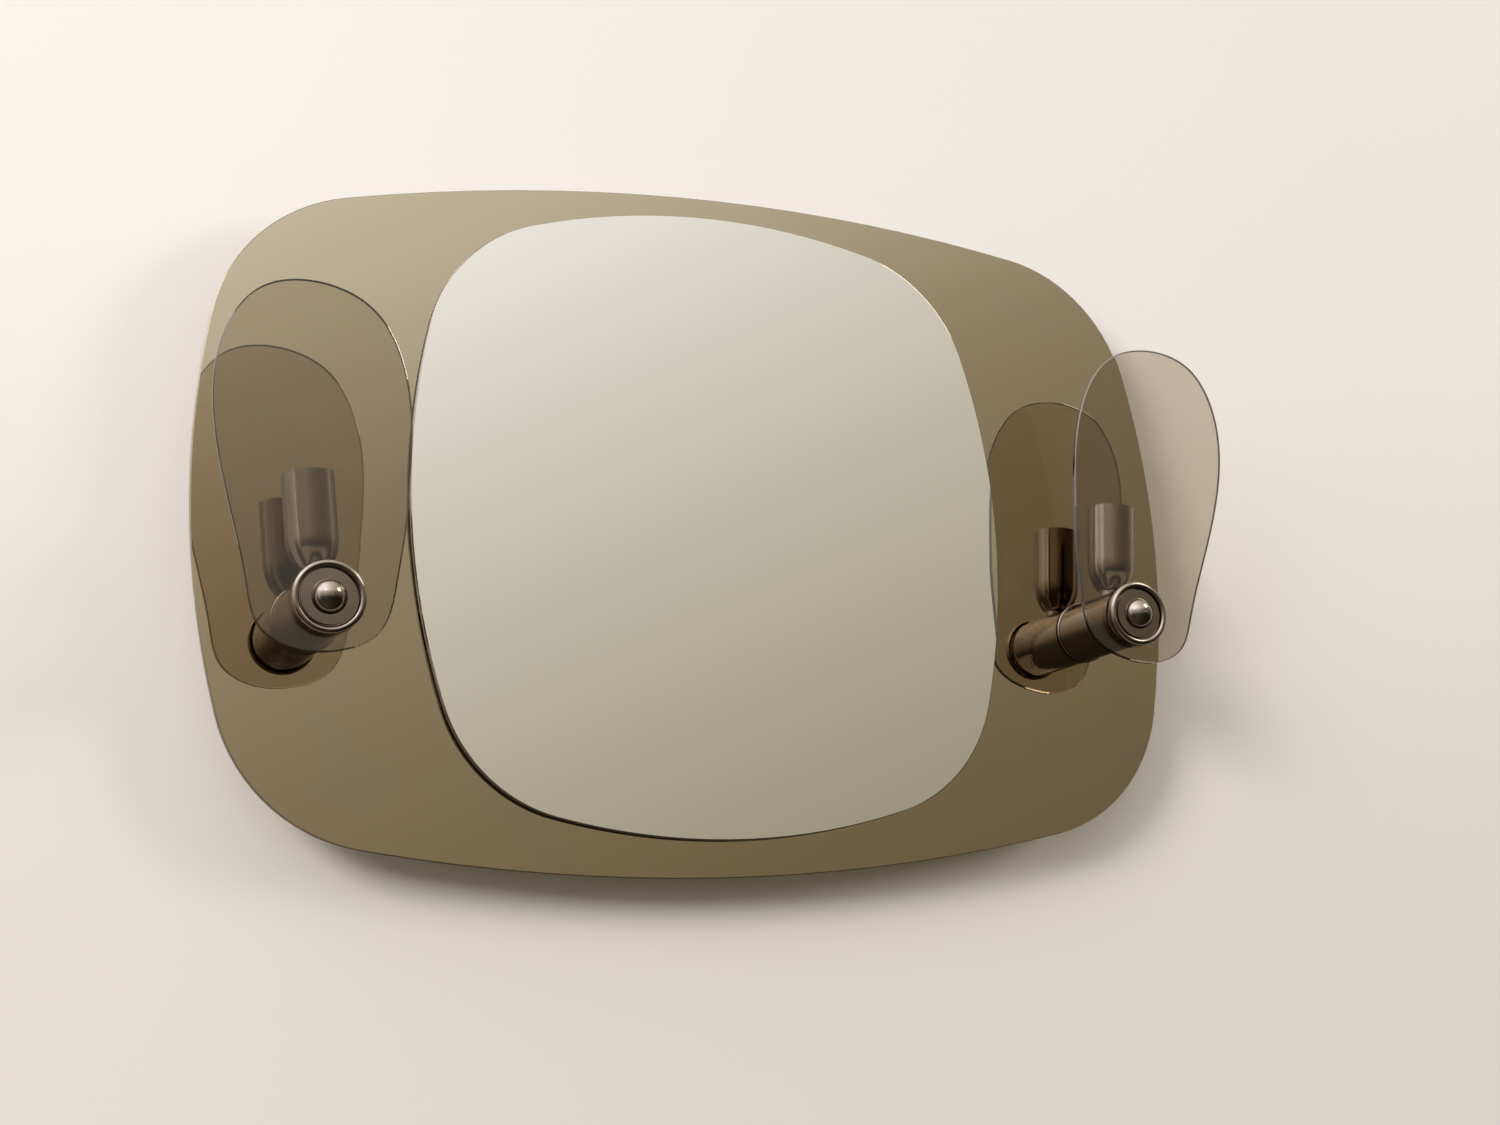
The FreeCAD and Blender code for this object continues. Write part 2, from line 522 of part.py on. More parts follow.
def lamp_cup(side, x):
    """The upright lamp-holder cup, its saddle and nipple, and the E14 socket inside it."""
    y, turn = CUP_DEPTH, lean_turn(side)
    seat_x, seat_z = on_lean(side, x, f"{FOOT_RISE} - saddle_thick - saddle_radius / 2")
    seat = cylinder("saddle_radius", "saddle_thick + saddle_radius / 2", seat_x, y, seat_z, turn)
    tube = cylinder("tube_radius + saddle_gap", "4 * saddle_radius", x, f"{y} - 2 * saddle_radius",
                    SCONCE_UP)
    nipple_bore = cylinder("stud_radius + thread_gap", "2 * tube_radius", x, y, SCONCE_UP, turn)
    node(cut(seat, [tube, nipple_bore]), f"{side}_cup_saddle")
    low_x, low_z = on_lean(side, x, "nipple_low")
    ring(f"{side}_cup_nipple", "stud_bore", "stud_radius", "nipple_long", low_x, y, low_z, turn)
    foot_x, foot_z = on_lean(side, x, FOOT_RISE)
    # The belly is an arc tangent to the straight wall at the shoulder
    drop, narrow = "(cup_shoulder - cup_heel_rise)", "(cup_radius - cup_heel_radius)"
    belly = f"(({drop} ^ 2 + {narrow} ^ 2) / (2 * {narrow}))"
    inner_heel = f"(cup_radius - {belly} + sqrt(({belly} - cup_wall) ^ 2 - {drop} ^ 2))"
    cup = [
        ("cap_hole", 0),
        ("cup_foot_radius", 0, "cup_heel_round", "left"),
        ("cup_heel_radius", "cup_heel_rise", belly, "left"),
        ("cup_radius", "cup_shoulder"),
        ("cup_radius", "cup_tall"),
        ("cup_radius - cup_wall", "cup_tall"),
        ("cup_radius - cup_wall", "cup_shoulder", f"({belly} - cup_wall)", "right"),
        (inner_heel, "cup_heel_rise"),
        ("cup_inner_foot", "cup_wall"),
        ("cap_hole", "cup_wall"),
    ]
    turned(f"{side}_lampholder_cup", cup, foot_x, y, foot_z, turn)
    socket = [
        ("stud_radius + thread_gap", "socket_foot"),
        ("socket_neck_radius", "socket_foot"),
        ("socket_neck_radius", "socket_shelf - socket_taper"),
        ("socket_radius", "socket_shelf"),
        ("socket_radius", "socket_top"),
        ("socket_well", "socket_top"),
        ("socket_well", "socket_floor"),
        ("lead_hole", "socket_floor"),
        ("lead_hole", "nipple_well"),
        ("stud_radius + thread_gap", "nipple_well"),
    ]
    turned(f"{side}_socket_body", socket, foot_x, y, foot_z, turn)
    shell_x, shell_z = on_lean(side, x, f"{FOOT_RISE} + shell_low")
    ring(f"{side}_socket_shell", "shell_inner", "shell_outer", "shell_long", shell_x, y, shell_z, turn)
    contact = [
        (0, 0),
        ("contact_radius", 0),
        ("contact_radius", "contact_thick"),
        ("contact_tip", "contact_thick"),
        ("contact_tip", "2 * contact_thick"),
        (0, "2 * contact_thick"),
    ]
    contact_x, contact_z = on_lean(side, x, f"{FOOT_RISE} + socket_floor")
    turned(f"{side}_socket_contact", contact, contact_x, y, contact_z, turn)


def shade(side, sign, x):
    """The glass shade on its flanged bush, with the washer in front of it."""
    bush = [
        ("stud_radius + thread_gap", 0),
        ("flange_radius", 0),
        ("flange_radius", "flange_thick"),
        ("shade_hole - running_gap", "flange_thick"),
        ("shade_hole - running_gap", "flange_thick + shade_thick"),
        ("stud_radius + thread_gap", "flange_thick + shade_thick"),
    ]
    turned(f"{side}_shade_bush", bush, x, TUBE_FRONT, SCONCE_UP)
    ring(f"{side}_front_washer", "stud_radius + bush_gap", "flange_radius", "flange_thick",
         x, WASHER_BACK, SCONCE_UP)
    body, sketch = body_with_sketch(f"{side}_glass_shade", "XZ_Plane")
    spots = [Vector(-sign * across, up, 0) for across, up in SHADE_OUTLINE]
    curve = Part.BSplineCurve()
    curve.interpolate(Points=spots, PeriodicFlag=True)
    sketch.addGeometry(curve, False)
    round_hole(sketch, "shade_hole", "0", "0")
    plate(body, sketch, "shade_thick", "glass_arris")
    # Turned clockwise as seen from the front
    turn = Rotation(Vector(0, 1, 0), value("shade_turn"))
    put(body, x, SHADE_BACK, SCONCE_UP, turn)
    node(body, f"{side}_glass_shade")


def cap_and_dome(side, x):
    bead_inner = "(cap_radius - 2 * bead_radius)"
    cap = [
        ("cap_hole", 0),
        ("cap_radius - cap_edge_round", 0, "cap_edge_round", "left"),
        ("cap_radius", "cap_edge_round"),
        ("cap_radius", "bead_base", "bead_radius", "left"),
        ("cap_radius - bead_radius", "bead_base + bead_radius", "bead_radius", "left"),
        (bead_inner, "bead_base"),
        (bead_inner, "groove_floor"),
        ("disc_radius", "groove_floor"),
        ("disc_radius", "disc_edge", "disc_crown_radius", "left"),
        ("cap_hole", "disc_middle"),
    ]
    turned(f"{side}_front_cap", cap, x, CAP_BACK, SCONCE_UP)
    ball = "((dome_radius ^ 2 + dome_tall ^ 2) / (2 * dome_tall))"
    dome = [
        ("stud_radius + thread_gap", 0),
        ("dome_radius", 0),
        ("dome_radius", "dome_skirt", ball, "left"),
        (0, "dome_skirt + dome_tall"),
        (0, "dome_bore_deep"),
        ("stud_radius + thread_gap", "dome_bore_deep"),
    ]
    turned(f"{side}_dome_nut", dome, x, DOME_BACK, SCONCE_UP)


def nuts_and_washers():
    """The back nuts and washers of both studs, and the lock nuts of both cups."""
    bore = "stud_radius + thread_gap"
    washers, back_nuts, lock_nuts = [], [], []
    for side, sign in SIDES:
        x = f"({sign} * sconce_reach)"
        washer_back = f"({BOARD_BACK} - back_washer_thick)"
        nut_back = f"({washer_back} - back_nut_thick)"
        disc = cylinder("back_washer_radius", "back_washer_thick", x, washer_back, SCONCE_UP)
        hole = cylinder(bore, "back_washer_thick", x, washer_back, SCONCE_UP)
        washers.append(cut(disc, [hole]))
        flats = hexagon("back_nut_corner", "back_nut_thick", x, nut_back, SCONCE_UP)
        hole = cylinder(bore, "back_nut_thick", x, nut_back, SCONCE_UP)
        back_nuts.append(cut(flats, [hole]))
        for rise in ("tube_nut_top - lock_nut_thick", f"{FOOT_RISE} + cup_wall"):
            nut_x, nut_z = on_lean(side, x, rise)
            turn = lean_turn(side)
            flats = hexagon("lock_nut_corner", "lock_nut_thick", nut_x, CUP_DEPTH, nut_z, turn)
            hole = cylinder(bore, "lock_nut_thick", nut_x, CUP_DEPTH, nut_z, turn)
            lock_nuts.append(cut(flats, [hole]))
    node(group(washers), "back_washers")
    node(group(back_nuts), "back_nuts")
    node(group(lock_nuts), "cup_lock_nuts")


# Wiring


def terminal_box():
    """A shallow box on the board's back. Its cover has a grommet where the supply comes out of the wall."""
    low = f"({BOARD_BACK} - box_deep)"
    up = SCONCE_UP
    shell = block("box_wide", "box_deep", "box_tall", "0", low, up)
    inside = block("box_wide - 2 * box_wall", "box_deep - box_wall", "box_tall - 2 * box_wall", "0", low, up)
    side_holes = [
        cylinder("lead_hole_side", "4 * box_wall", f"({sign} * box_wide / 2 - 2 * box_wall)", "lead_depth",
                 up, ACROSS)
        for _, sign in SIDES
    ]
    hollow = cut(shell, [inside] + side_holes)
    post_up = f"({up} + box_tall / 2 - box_wall - post_off_wall)"
    inlet_up = f"({up} - inlet_drop)"
    posts, pilots, cover_holes, screws = [], [], [], []
    head_back = f"({low} - cover_thick - hanger_head_tall)"
    for _, sign in SIDES:
        x = f"({sign} * box_screw_reach)"
        posts.append(cylinder("post_radius", "box_deep - box_wall / 2", x, low, post_up))
        pilots.append(cylinder("box_screw_radius + screw_gap", "box_screw_long", x, low, post_up))
        cover_holes.append(
            cylinder("box_screw_radius + screw_gap", "2 * cover_thick", x, f"{low} - cover_thick", post_up)
        )
        head = cylinder("box_screw_head", "hanger_head_tall", x, head_back, post_up)
        shank = cylinder("box_screw_radius", "box_screw_long", x, head_back, post_up)
        screws.append(together([head, shank]))
    node(cut(together([hollow] + posts), pilots), "terminal_box")
    cover = block("box_wide", "cover_thick", "box_tall", "0", f"{low} - cover_thick", up)
    cover_holes.append(
        cylinder("grommet_radius + screw_gap", "2 * cover_thick", "0", f"{low} - cover_thick", inlet_up)
    )
    node(cut(cover, cover_holes), "terminal_cover")
    node(group(screws), "box_screws")
    terminal = block("block_wide", "block_thick", "block_tall", "0",
                     f"{BOARD_BACK} - box_wall - block_thick", up)
    heads = [
        cylinder("block_screw_radius", "block_thick / 2", f"({place} * block_screw_spacing)",
                 f"{BOARD_BACK} - box_wall - block_thick", f"{up} + {row} * block_tall / 4")
        for place in (-1, 0, 1) for row in (-1, 1)
    ]
    node(cut(terminal, heads), "terminal_block")
    grommet = [
        ("grommet_bore", 0),
        ("grommet_lip", 0),
        ("grommet_lip", "(grommet_long - cover_thick) / 2"),
        ("grommet_radius", "(grommet_long - cover_thick) / 2"),
        ("grommet_radius", "(grommet_long + cover_thick) / 2"),
        ("grommet_lip", "(grommet_long + cover_thick) / 2"),
        ("grommet_lip", "grommet_long"),
        ("grommet_bore", "grommet_long"),
    ]
    turned("cable_grommet", grommet, "0", f"{low} - cover_thick / 2 - grommet_long / 2", inlet_up)


def rounded_path(corners, radii):
    """Straight runs through the corners, joined by tangent arcs of those radii."""
    edges = []
    start = corners[0]
    for before, corner, after, radius in zip(corners, corners[1:], corners[2:], radii):
        back, on = before.sub(corner).normalize(), after.sub(corner).normalize()
        half = back.getAngle(on) / 2
        reach = radius / math.tan(half)
        first, last = corner + back * reach, corner + on * reach
        middle = (back + on).normalize()
        crown = corner + middle * (radius / math.sin(half) - radius)
        edges += [Part.LineSegment(start, first).toShape(), Part.Arc(first, crown, last).toShape()]
        start = last
    edges.append(Part.LineSegment(start, corners[-1]).toShape())
    return Part.Wire(edges)


def lead(side, sign):
    """A two-core lead from the socket down through the nipple and the hollow stud to the terminal box."""
    reach, up = value("sconce_reach"), value(SCONCE_UP)
    cup, turn_back, run = value(CUP_DEPTH), value("lead_turn_depth"), value("lead_depth")
    past_nut = reach - value("back_washer_radius + lead_past_washer")
    terminal_side = value("block_wide / 2")
    lean = math.radians(value(f"{side}_lean"))
    upwards = Vector(math.sin(lean), 0, math.cos(lean))
    elbow = Vector(sign * reach, -cup, up)
    corners = [
        elbow + upwards * value(f"{FOOT_RISE} + socket_floor - 1"),
        elbow,
        Vector(sign * reach, -turn_back, up),
        Vector(sign * past_nut, -turn_back - value("lead_step"), up),
        Vector(sign * (past_nut - value("lead_climb")), -run, up),
        Vector(sign * terminal_side, -run, up),
    ]
    path = rounded_path(corners, LEAD_RADII)
    radius = value("lead_radius")
    first = Part.Wire(Part.makeCircle(radius, corners[0], upwards * -1))
    tube = path.makePipeShell([first], True, True)
    area = math.pi * radius**2
    print(f"{side} lead: {path.Length:.0f} mm, radii {LEAD_RADII}, volume over section times length "
          f"{tube.Volume / (area * path.Length):.4f}")
    made = doc.addObject("Part::Feature", f"{side}_lead")
    made.Shape = tube
    node(made, f"{side}_lead")


def clips():
    """Small clips that hold the leads off the board's back, beside the battens and by the box."""
    made = []
    for _, sign in SIDES:
        for place in CLIP_SHARES:
            x = f"({sign} * sconce_reach * {place})"
            foot = block("clip_wide", "clip_deep", "clip_tall", x, f"{BOARD_BACK} - clip_deep", SCONCE_UP)
            hole = cylinder("lead_radius + thread_gap", "2 * clip_wide", f"{x} - clip_wide", "lead_depth",
                            SCONCE_UP, ACROSS)
            made.append(cut(foot, [hole]))
    node(group(made), "lead_clips")


glasses()
back_frame()
hangers()
felt_pads()
for side, sign in SIDES:
    across = f"({sign} * sconce_reach)"
    clamp_stack(side, across)
    lamp_cup(side, across)
    shade(side, sign, across)
    cap_and_dome(side, across)
    lead(side, sign)
nuts_and_washers()
terminal_box()
clips()

doc.recompute()
for made in doc.Objects:
    if "Invalid" in made.State or "Error" in made.State:
        raise RuntimeError(f"{made.Label} could not be made: {made.State}")
for made in nodes:
    if made.Shape.isNull() or not made.Shape.isValid() or made.Shape.Volume <= 0:
        raise RuntimeError(f"{made.Label} has no valid solid")
os.makedirs("parts", exist_ok=True)
for made in nodes:
    made.Shape.exportStep(os.path.join("parts", f"{made.Label}.step"))
print(len(nodes), "nodes")
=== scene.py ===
"""Wall mirror with two sconces: materials, stage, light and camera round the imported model."""

import math

import bpy
from mathutils import Matrix, Vector

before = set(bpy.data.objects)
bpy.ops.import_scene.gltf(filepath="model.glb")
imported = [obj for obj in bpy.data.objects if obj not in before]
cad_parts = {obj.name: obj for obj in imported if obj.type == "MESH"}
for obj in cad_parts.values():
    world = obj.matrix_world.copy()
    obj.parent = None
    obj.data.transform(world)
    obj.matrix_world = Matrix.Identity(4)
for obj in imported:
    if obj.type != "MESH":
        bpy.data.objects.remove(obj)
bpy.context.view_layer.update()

# Camera, in metres, radians and millimetres of film
CAMERA_PLACE = (-0.628, -1.532, -0.568)
CAMERA_TURN, CAMERA_TILT, CAMERA_ROLL = 0.413, 0.209, -0.061
LENS, FILM_WIDTH = 51.46, 36
NEAREST_SEEN = 0.01

# Stage, in metres. The wall is the plane that the object hangs on
WALL_Y, WALL_TOP, FLOOR_Z, STAGE_REACH = 0.0, 3.0, -1.7, 5.0
# The second wall colour is painted shade: below the first height the paint turns darker and warmer, and
# below the second height it is full. The floor lies lower still and takes it in full.
WALL_COLOUR, PAINTED_SHADE_LOW, FLOOR_COLOUR = (0.86, 0.845, 0.82), (0.755, 0.735, 0.69), (0.80, 0.77, 0.72)
PAINTED_SHADE_FROM_Z, PAINTED_SHADE_FULL_Z = 0.15, -0.55

# Sky, by direction. Each channel: its logarithm at the horizon, and its slopes across and upwards
SKY_CHANNELS = ((-0.771, -1.163, 2.627), (-0.867, -1.211, 2.808), (-1.106, -1.471, 3.411))
SKY_ACROSS, SKY_UP = (-0.4, 0.6), (-0.25, 0.39)
# Reflections also see a bright ceiling and a dark floor: their heights, and their slopes in the logarithm
CEILING, CEILING_SLOPE = (0.40, 0.60), 4.0
FLOOR, FLOOR_SLOPE = (-0.15, 0.05), 4.5
# The sky's light on plain surfaces, in the logarithm, and its colour where the camera sees it
DIFFUSE_CHANGE = -0.45
SKY_SEEN = (0.80, 0.78, 0.74)

# Lamps: name, place, width, height, watts, and whether it only gives glints
LAMPS = (
    ("soft_right", (4.4, -2.5, 1.1), 1.6, 1.6, 88, False),
    ("soft_left", (-3.6, -2.7, 1.4), 1.6, 1.6, 165, False),
    ("soft_back", (0.4, 2.2, 0.9), 2.0, 1.5, 50, False),
    ("glint_window", (1.9, -1.2, 1.35), 1.1, 0.8, 22, True),
    ("glint_lamp", (-0.9, -1.2, 0.7), 0.12, 0.12, 0.5, True),
    ("glint_left", (-2.0, -0.7, 0.1), 0.4, 1.8, 1.6, True),
    ("glint_right", (2.2, -0.25, 0.1), 0.25, 1.8, 0.7, True),
)
LAMP_COLOUR, LAMP_AIM = (1.0, 0.955, 0.88), Vector((0, 0, -0.2))

# A mirror's faces by their normal along Y, from where one starts to where it is full
FRONT_FACE, BACK_FACE, BEVEL = (-0.93, -0.98), (0.93, 0.98), (-0.4, -0.55)
# The bronze's third colour is a painted reflection: the front turns towards it, lighter, at the upper left.
BRONZE, BRONZE_PAINTED_LIGHT, BRONZE_PAINT = (0.43, 0.345, 0.24), (0.54, 0.476, 0.36), (0.16, 0.13, 0.10)
BRONZE_EDGE, BRONZE_BEVEL = (0.045, 0.028, 0.014), (0.26, 0.20, 0.13)
SILVER, SILVER_PAINT = (0.95, 0.95, 0.93), (0.20, 0.215, 0.20)
SILVER_EDGE, SILVER_BEVEL = (0.10, 0.085, 0.055), (0.18, 0.16, 0.12)
DUST = (0.55, 0.52, 0.47)


# Camera


def make_camera():
    turn, tilt, roll = CAMERA_TURN, CAMERA_TILT, CAMERA_ROLL
    right = Vector((math.cos(turn), -math.sin(turn), 0))
    ahead = Vector((math.sin(turn) * math.cos(tilt), math.cos(turn) * math.cos(tilt), math.sin(tilt)))
    up = right.cross(ahead)
    across = right * math.cos(roll) + up * math.sin(roll)
    upward = up * math.cos(roll) - right * math.sin(roll)
    data = bpy.data.cameras.new("camera")
    data.lens = LENS
    data.sensor_width = FILM_WIDTH
    data.clip_start = NEAREST_SEEN
    camera = bpy.data.objects.new("camera", data)
    axes = Matrix((across, upward, -ahead)).transposed()
    camera.matrix_world = Matrix.Translation(CAMERA_PLACE) @ axes.to_4x4()
    bpy.context.scene.collection.objects.link(camera)
    bpy.context.scene.camera = camera


# Shader helpers


class Material:
    """A node material under construction: one Principled shader and what feeds it."""

    def __init__(self, name, **sockets):
        self.mat = bpy.data.materials.new(name)
        self.mat.use_nodes = True
        self.tree = self.mat.node_tree
        self.shader = self.tree.nodes["Principled BSDF"]
        self.output = self.tree.nodes["Material Output"]
        for socket, size in sockets.items():
            self.set(socket, size)

    def set(self, socket, size):
        self.shader.inputs[socket.replace("_", " ")].default_value = size

    def node(self, kind, **settings):
        made = self.tree.nodes.new(f"ShaderNode{kind}")
        for name, size in settings.items():
            setattr(made, name, size)
        return made

    def link(self, start, end):
        self.tree.links.new(start, end)

    def feed(self, start, socket):
        self.link(start, self.shader.inputs[socket])

    def place(self, stretch=(1, 1, 1), turn=(0, 0, 0)):
        """Object coordinates in metres, stretched."""
        coords = self.node("TexCoord")
        mapping = self.node("Mapping")
        mapping.inputs["Scale"].default_value = stretch
        mapping.inputs["Rotation"].default_value = turn
        self.link(coords.outputs["Object"], mapping.inputs["Vector"])
        return mapping.outputs["Vector"]

    def noise(self, where, scale, detail=4, rough=0.5, warp=0):
        made = self.node("TexNoise")
        self.link(where, made.inputs["Vector"])
        made.inputs["Scale"].default_value = scale
        made.inputs["Detail"].default_value = detail
        made.inputs["Roughness"].default_value = rough
        made.inputs["Distortion"].default_value = warp
        return made.outputs["Fac"]

    def cells(self, where, scale, output="Distance"):
        made = self.node("TexVoronoi")
        self.link(where, made.inputs["Vector"])
        made.inputs["Scale"].default_value = scale
        return made.outputs[output]

    def span(self, start, low, high, to_low, to_high):
        """The value from low to high, mapped to to_low to to_high."""
        made = self.node("MapRange", interpolation_type="SMOOTHSTEP")
        self.link(start, made.inputs["Value"])
        for name, size in (("From Min", low), ("From Max", high), ("To Min", to_low), ("To Max", to_high)):
            made.inputs[name].default_value = size
        return made.outputs["Result"]

    def sum(self, first, second, kind="ADD"):
        made = self.node("Math", operation=kind)
        for index, term in enumerate((first, second)):
            if isinstance(term, (int, float)):
                made.inputs[index].default_value = term
            else:
                self.link(term, made.inputs[index])
        return made.outputs[0]

    def colours(self, factor, *stops):
        """A ramp of (place, colour)."""
        made = self.node("ValToRGB")
        ramp = made.color_ramp
        for index, (place, colour) in enumerate(stops):
            stop = ramp.elements[index] if index < 2 else ramp.elements.new(place)
            stop.position = place
            stop.color = (*colour, 1)
        self.link(factor, made.inputs["Fac"])
        return made.outputs["Color"]

    def blend(self, factor, first, second):
        """From the first colour to the second. A colour is a tuple or another node's output."""
        made = self.node("Mix", data_type="RGBA")
        self.link(factor, made.inputs[0])
        for index, colour in ((6, first), (7, second)):
            if isinstance(colour, tuple):
                made.inputs[index].default_value = (*colour, 1)
            else:
                self.link(colour, made.inputs[index])
        return made.outputs[2]

    def bump(self, height, strength, distance):
        made = self.node("Bump")
        made.inputs["Strength"].default_value = strength
        made.inputs["Distance"].default_value = distance
        self.link(height, made.inputs["Height"])
        return made.outputs["Normal"]

    def facing(self):
        """The surface's own normal along Y, in the object's frame: -1 is the front."""
        coords = self.node("TexCoord")
        return self.axes(coords.outputs["Normal"])["Y"]

    def axes(self, vector):
        split = self.node("SeparateXYZ")
        self.link(vector, split.inputs[0])
        return split.outputs


def shaded(colour, share):
    return tuple(share * part for part in colour)


def dark_nickel():
    """Polished dark nickel plate: a smoky brown-grey metal, with a thin film of dust and fine wipe marks."""
    made = Material("dark_nickel_plate", Metallic=1.0)
    film = made.noise(made.place(), 55, 5, 0.6, 0.6)
    wipes = made.noise(made.place((1, 1, 9), (0.5, 0.2, 0.9)), 120, 3)
    haze = made.span(film, 0.42, 0.72, 0.11, 0.18)
    made.feed(made.sum(haze, made.span(wipes, 0.5, 0.8, 0, 0.035)), "Roughness")
    made.feed(made.colours(film, (0.3, (0.215, 0.184, 0.148)), (0.75, (0.180, 0.153, 0.122))), "Base Color")
    made.feed(made.bump(made.noise(made.place(), 28, 2), 0.05, 0.0006), "Normal")
    return made.mat


def mirror(name, silver, edge, bevel, paint, painted_light=None):
    """A silvered glass: the front reflects, the edge is polished glass, and the back is painted.

    Where there is a painted-light colour, the silver turns towards it at the upper left: a painted
    reflection that makes that part lighter.
    """
    made = Material(name, Metallic=1.0, IOR=1.52)
    made.set("Coat Weight", 0.5)
    made.set("Coat Roughness", 0.01)
    y = made.facing()
    front = made.span(y, *FRONT_FACE, 0, 1)
    back = made.span(y, *BACK_FACE, 0, 1)
    slanted = made.span(y, *BEVEL, 0, 1)
    film = made.noise(made.place(), 9, 6, 0.62, 0.8)
    speck = made.span(made.cells(made.place(), 420), 0.03, 0.07, 1, 0)
    clear = made.blend(made.span(film, 0.45, 0.8, 0, 0.10), silver, shaded(silver, 0.93))
    if painted_light:
        # Painted reflection: the front grows lighter towards the upper left.
        where = made.axes(made.place())
        height = made.sum(where["Z"], made.sum(where["X"], 0.35, "MULTIPLY"), "SUBTRACT")
        clear = made.blend(made.span(height, -0.16, 0.08, 0, 1), clear, painted_light)
    clear = made.blend(made.sum(speck, 0.12, "MULTIPLY"), clear, DUST)
    shown = made.blend(front, made.blend(slanted, edge, bevel), clear)
    fleck = made.noise(made.place(), 900, 2)
    coat = made.blend(made.span(fleck, 0.35, 0.7, 0, 1), paint, shaded(paint, 0.72))
    made.feed(made.blend(back, shown, coat), "Base Color")
    made.feed(made.sum(front, made.sum(slanted, 0.75, "MULTIPLY"), "MAXIMUM"), "Metallic")
    glass_rough = made.sum(made.span(film, 0.5, 0.85, 0.006, 0.02), made.sum(speck, 0.08, "MULTIPLY"))
    edge_rough = made.sum(made.span(made.noise(made.place(), 700, 2), 0.3, 0.7, 0.08, 0.22),
                          made.sum(1.0, front, "SUBTRACT"), "MULTIPLY")
    back_rough = made.sum(back, 0.4, "MULTIPLY")
    made.feed(made.sum(made.sum(glass_rough, edge_rough), back_rough), "Roughness")
    orange_peel = made.sum(made.noise(made.place(), 480, 3), back, "MULTIPLY")
    made.feed(made.bump(orange_peel, 0.25, 0.0004), "Normal")
    return made.mat


def tinted_glass():
    """Grey-brown clear glass with dark edges. Light from the lamps passes it with a faint tint."""
    made = Material("shade_glass", Roughness=0.0, IOR=1.5)
    made.set("Transmission Weight", 1.0)
    film = made.noise(made.place(), 16, 5, 0.6, 0.7)
    body = made.colours(film, (0.3, (0.665, 0.603, 0.52)), (0.8, (0.635, 0.573, 0.488)))
    face = made.span(made.sum(made.facing(), 0.0, "ABSOLUTE"), 0.90, 0.97, 0, 1)
    made.feed(made.blend(face, (0.085, 0.062, 0.042), body), "Base Color")
    clear = made.node("BsdfTransparent")
    clear.inputs["Color"].default_value = (0.96, 0.945, 0.925, 1)
    path, mix = made.node("LightPath"), made.node("MixShader")
    made.link(path.outputs["Is Shadow Ray"], mix.inputs[0])
    made.link(made.shader.outputs[0], mix.inputs[1])
    made.link(clear.outputs[0], mix.inputs[2])
    made.link(mix.outputs[0], made.output.inputs["Surface"])
    return made.mat


def zinc_steel():
    made = Material("zinc_plated_steel", Metallic=0.95, Roughness=0.35)
    spangle = made.cells(made.place(), 260, output="Color")
    grain = made.noise(made.place(), 900, 3)
    tone = made.node("RGBToBW")
    made.link(spangle, tone.inputs[0])
    grey = tone.outputs[0]
    made.feed(made.colours(grey, (0.1, (0.50, 0.50, 0.49)), (0.9, (0.66, 0.66, 0.65))), "Base Color")
    made.feed(made.sum(made.span(grey, 0, 1, 0.28, 0.42), made.span(grain, 0.3, 0.7, 0, 0.12)), "Roughness")
    made.feed(made.bump(grain, 0.15, 0.0002), "Normal")
    return made.mat


def brass():
    made = Material("brass_contact", Metallic=1.0, Roughness=0.25)
    tarnish = made.noise(made.place(), 220, 6, 0.65, 0.5)
    made.feed(made.colours(tarnish, (0.35, (0.83, 0.62, 0.30)), (0.72, (0.52, 0.36, 0.16))), "Base Color")
    made.feed(made.span(tarnish, 0.35, 0.75, 0.16, 0.42), "Roughness")
    made.feed(made.bump(made.noise(made.place(), 1500, 2), 0.1, 0.0001), "Normal")
    return made.mat


def porcelain():
    made = Material("glazed_porcelain", Roughness=0.18, IOR=1.55)
    made.set("Coat Weight", 0.7)
    made.set("Coat Roughness", 0.05)
    made.set("Subsurface Weight", 0.08)
    made.set("Subsurface Scale", 0.002)
    cloud = made.noise(made.place(), 90, 4, 0.55)
    pits = made.cells(made.place(), 900)
    body = made.colours(cloud, (0.3, (0.84, 0.825, 0.785)), (0.75, (0.78, 0.76, 0.715)))
    made.feed(made.blend(made.span(pits, 0.02, 0.06, 0.5, 0), body, (0.35, 0.30, 0.24)), "Base Color")
    made.feed(made.span(cloud, 0.3, 0.75, 0.14, 0.30), "Roughness")
    made.feed(made.bump(made.noise(made.place(), 160, 2), 0.18, 0.0003), "Normal")
    return made.mat


def plastic(name, light, dark, rough, grain_scale=1400, **more):
    """Moulded plastic with a fine grain, slight mottling and rubbed patches."""
    made = Material(name, Roughness=rough, IOR=1.49)
    for socket, size in more.items():
        made.set(socket, size)
    cloud = made.noise(made.place(), 60, 5, 0.6, 0.4)
    grain = made.noise(made.place(), grain_scale, 2)
    made.feed(made.colours(cloud, (0.3, light), (0.75, dark)), "Base Color")
    made.feed(made.sum(made.span(cloud, 0.35, 0.7, rough - 0.08, rough + 0.07),
                       made.span(grain, 0.3, 0.7, -0.03, 0.05)), "Roughness")
    made.feed(made.bump(grain, 0.22, 0.00015), "Normal")
    return made.mat


def felt():
    made = Material("wool_felt", Roughness=0.95)
    made.set("Sheen Weight", 0.7)
    made.set("Sheen Roughness", 0.6)
    fibre = made.noise(made.place(), 900, 6, 0.75, 2.5)
    clump = made.noise(made.place(), 160, 4, 0.6)
    made.feed(made.blend(made.span(clump, 0.35, 0.7, 0, 0.5),
                         made.colours(fibre, (0.3, (0.33, 0.30, 0.26)), (0.7, (0.20, 0.18, 0.155))),
                         (0.27, 0.245, 0.21)), "Base Color")
    made.feed(made.bump(fibre, 0.8, 0.0006), "Normal")
    return made.mat


